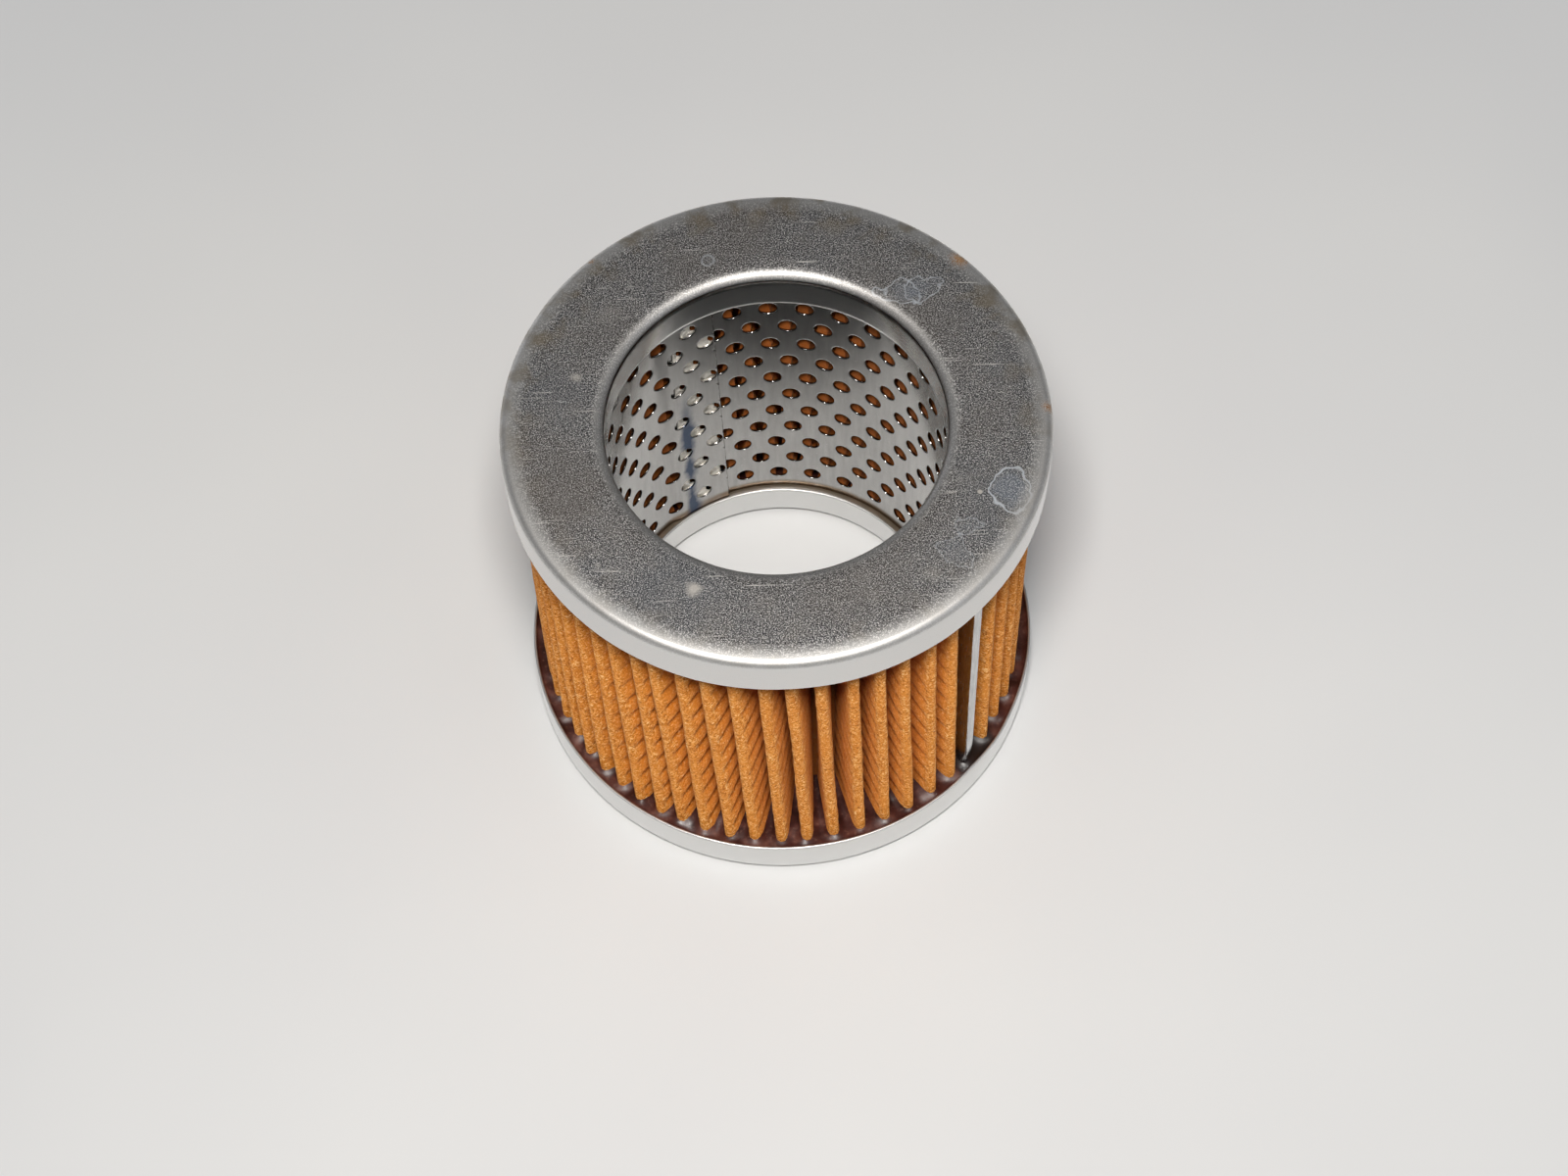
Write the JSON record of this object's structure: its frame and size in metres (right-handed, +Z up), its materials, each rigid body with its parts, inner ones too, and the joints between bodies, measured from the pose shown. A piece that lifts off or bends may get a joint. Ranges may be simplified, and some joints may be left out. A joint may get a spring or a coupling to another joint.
{
  "type": "fuel filter element",
  "caption": "Round replaceable filter element: pleated paper round a perforated metal core tube, potted into pressed metal end caps with an open bore.",
  "frame": {"origin": "centre of the bottom cap's outer face, on the bore axis", "axes": "+Z up along the bore axis to the top cap; -Y towards the side that faces the viewer, with the folded clip between -Y and +X; the core tube's lap lies on the +Y side"},
  "size_m": [0.0922, 0.0922, 0.0794],
  "materials": {
    "cap_steel": "dull plated steel, satin, with handling scuffs",
    "core_steel": "bright tinned steel sheet, punched",
    "filter_paper": "resin-treated filter paper, matt",
    "clip_steel": "bright folded steel strip",
    "potting": "cured plastisol, glossy and uneven"
  },
  "bodies": {
    "root": {"top_end_cap": "cap_steel", "bottom_end_cap": "cap_steel", "core_tube": "core_steel", "pleated_paper": "filter_paper", "seam_clip": "clip_steel", "top_potting": "potting", "bottom_potting": "potting"}
  },
  "joints": []
}
